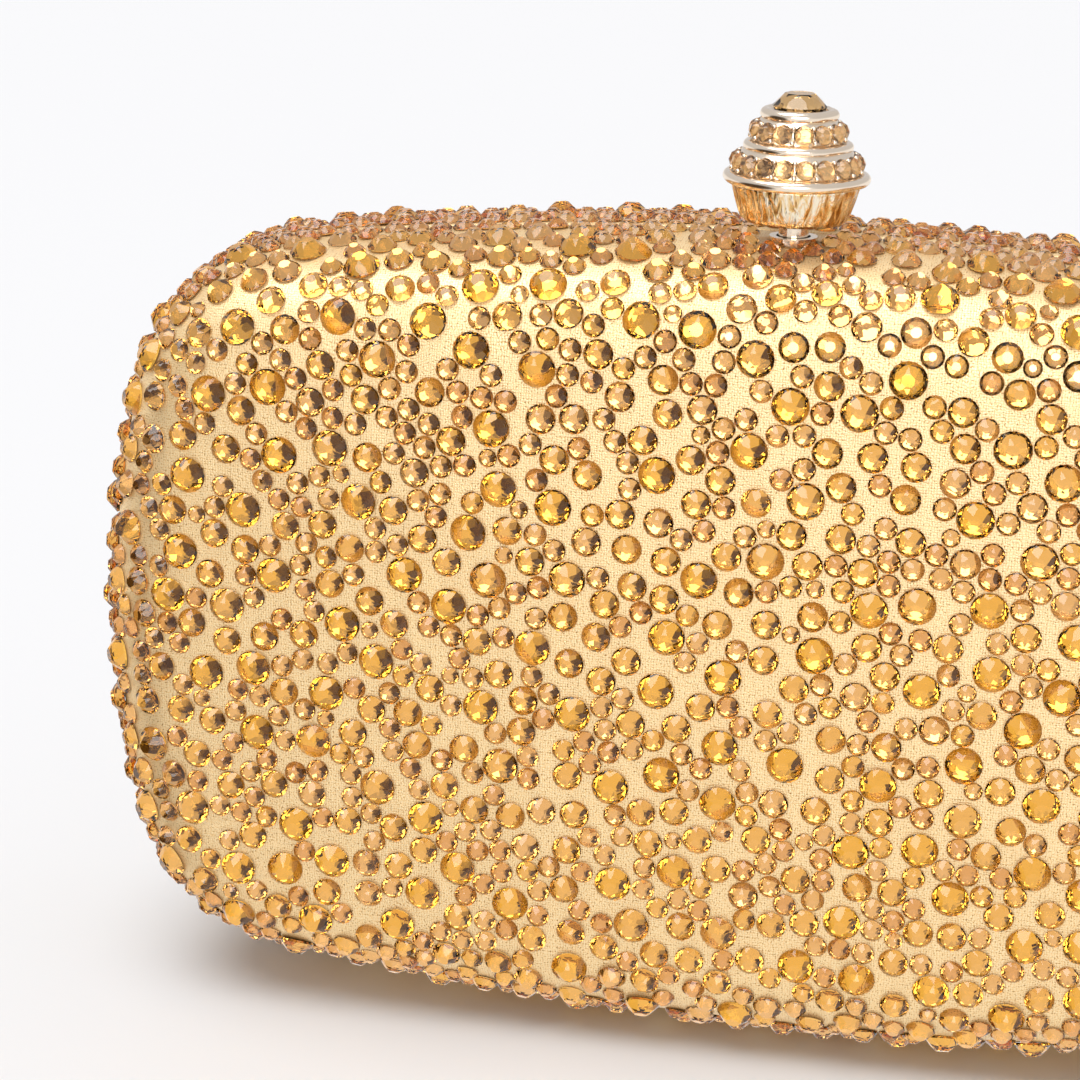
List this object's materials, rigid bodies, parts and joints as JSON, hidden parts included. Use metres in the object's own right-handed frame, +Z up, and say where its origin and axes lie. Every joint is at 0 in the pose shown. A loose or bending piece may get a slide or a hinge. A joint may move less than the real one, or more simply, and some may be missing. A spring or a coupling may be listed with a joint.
{
  "type": "evening bag",
  "caption": "Hard-shell evening clutch set all over with crystals, its two dished halves hinged along the bottom and shut by a tiered press knob on top.",
  "frame": {"origin": "centre of the bag's footprint, on the surface it stands on", "axes": "+X along the bag's width, -Y out of its front, +Z up through the knob"},
  "size_m": [0.192, 0.052, 0.1314],
  "materials": {
    "crystal": "faceted amber glass with foiled backs",
    "gold_cloth": "plain-woven metallic gold cloth",
    "moulding": "moulded shell, matt",
    "gold_metal": "pale gold plating, polished",
    "steel": "bright zinc plate",
    "lining": "gold satin"
  },
  "bodies": {
    "front_half": {"front_crystals": "crystal", "front_cover": "gold_cloth", "front_shell": "moulding", "front_lining": "lining", "front_frame": "gold_metal", "hinge_front_leaf": "gold_metal", "hinge_pin": "steel", "hinge_front_rivet_left": "gold_metal", "hinge_front_rivet_right": "gold_metal", "latch_housing": "steel", "housing_screw_left": "steel", "housing_screw_right": "steel", "stem_ferrule": "gold_metal", "latch_spring": "steel"},
    "back_half": {"back_crystals": "crystal", "back_cover": "gold_cloth", "back_shell": "moulding", "back_lining": "lining", "back_frame": "gold_metal", "back_pocket": "lining", "hinge_back_leaf": "gold_metal", "hinge_back_rivet_left": "gold_metal", "hinge_back_rivet_right": "gold_metal", "keeper_plate": "steel", "keeper_screw_left": "steel", "keeper_screw_right": "steel"},
    "knob": {"knob_stem": "gold_metal", "latch_plate": "steel", "stem_nut": "steel", "knob_cup": "gold_metal", "knob_lower_ring": "gold_metal", "knob_lower_tier": "gold_metal", "knob_lower_stones": "crystal", "knob_mid_ring": "gold_metal", "knob_upper_tier": "gold_metal", "knob_upper_stones": "crystal", "knob_top_ring": "gold_metal", "knob_top_gem": "crystal"}
  },
  "joints": [
    {"name": "opening", "type": "hinge", "parent": "front_half", "child": "back_half", "pos_m": [0, 0, 0.00155], "axis": [-1, 0, 0], "range_deg": [0, 100]},
    {"name": "knob_press", "type": "slide", "parent": "front_half", "child": "knob", "axis": [0, 0, -1], "range_m": [0, 0.0013], "stiffness_N_per_m": 1500, "springref_m": -0.002, "deforming": ["latch_spring"]}
  ]
}
